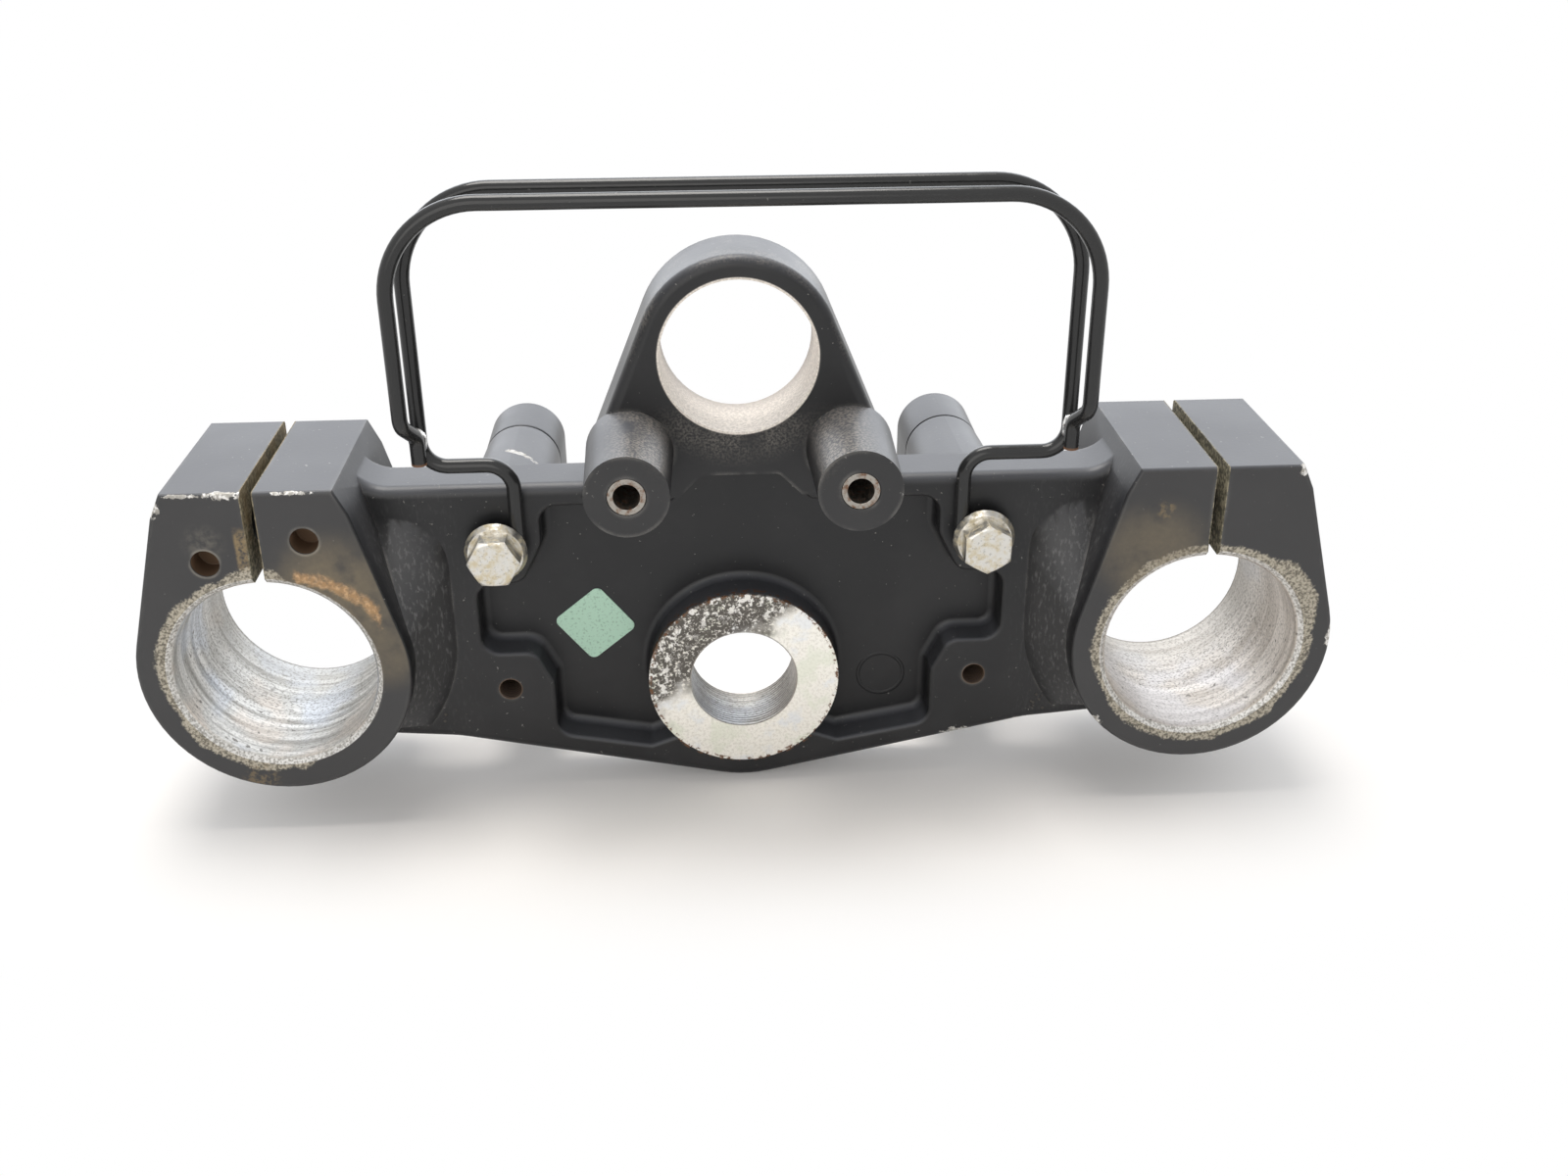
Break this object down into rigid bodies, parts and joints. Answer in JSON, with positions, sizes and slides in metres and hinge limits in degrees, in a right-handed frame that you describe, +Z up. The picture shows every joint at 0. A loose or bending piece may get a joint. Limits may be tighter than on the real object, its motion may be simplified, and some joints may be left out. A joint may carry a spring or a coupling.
{
  "type": "motorcycle upper triple clamp",
  "caption": "Black cast upper triple clamp seen from its underside: split fork clamps, machined stem seat, lock ring, handlebar risers with caps and a bent wire cable guide.",
  "frame": {"origin": "centre of the stem bore on its machined underside seat", "axes": "stem and fork bores along Y, underside towards -Y; X from fork to fork; Z up, towards the lock ring, as it stands in the picture"},
  "size_m": [0.26, 0.0923, 0.1414],
  "materials": {
    "cast_black": "satin black paint over cast aluminium, bare in the bores and on the stem seat",
    "cap_black": "satin black paint",
    "screw_dark": "blackened steel",
    "insert_steel": "plain steel, slightly rusty",
    "zinc_steel": "zinc plated, dull",
    "wire_black": "gloss black coated steel wire",
    "label_green": "plain matt sticker"
  },
  "bodies": {
    "root": {"yoke": "cast_black", "riser_cap_left": "cap_black", "riser_cap_right": "cap_black", "riser_cap_screws": "screw_dark", "thread_inserts": "insert_steel", "guide_bolts": "zinc_steel", "guide_main_wire": "wire_black", "guide_front_wire": "wire_black", "inspection_label": "label_green"}
  },
  "joints": []
}
